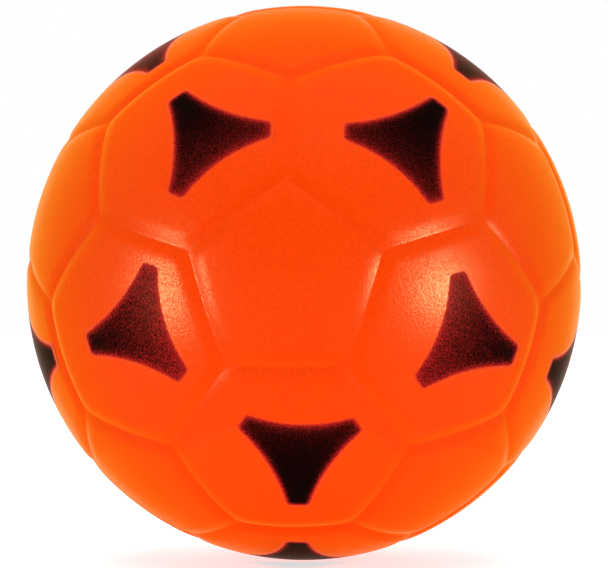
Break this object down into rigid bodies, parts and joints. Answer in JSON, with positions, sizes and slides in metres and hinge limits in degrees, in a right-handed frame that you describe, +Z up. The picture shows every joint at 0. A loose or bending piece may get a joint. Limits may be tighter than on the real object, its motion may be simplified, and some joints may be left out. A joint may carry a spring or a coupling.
{
  "type": "foam soccer ball",
  "caption": "Round solid foam football for indoor play: an orange skin moulded with the seams of a panelled ball, and plain black three-armed marks printed on its hexagons.",
  "frame": {"origin": "centre of the ball", "axes": "+Z up; a pentagon panel faces the front, -Y, with one corner pointing up; +X is to the right as seen from the front"},
  "size_m": [0.1996, 0.1998, 0.2002],
  "materials": {
    "skin": "satin orange integral skin of polyurethane foam",
    "core_foam": "open cut foam, orange all through",
    "print_ink": "thin black print with soft edges"
  },
  "bodies": {
    "root": {"foam_core": "core_foam", "moulded_skin": "skin", "mark_front_inner_1": "print_ink", "mark_front_inner_2": "print_ink", "mark_front_inner_3": "print_ink", "mark_front_inner_4": "print_ink", "mark_front_inner_5": "print_ink", "mark_front_outer_1": "print_ink", "mark_front_outer_2": "print_ink", "mark_front_outer_3": "print_ink", "mark_front_outer_4": "print_ink", "mark_front_outer_5": "print_ink", "mark_rear_inner_1": "print_ink", "mark_rear_inner_2": "print_ink", "mark_rear_inner_3": "print_ink", "mark_rear_inner_4": "print_ink", "mark_rear_inner_5": "print_ink", "mark_rear_outer_1": "print_ink", "mark_rear_outer_2": "print_ink", "mark_rear_outer_3": "print_ink", "mark_rear_outer_4": "print_ink", "mark_rear_outer_5": "print_ink"}
  },
  "joints": []
}
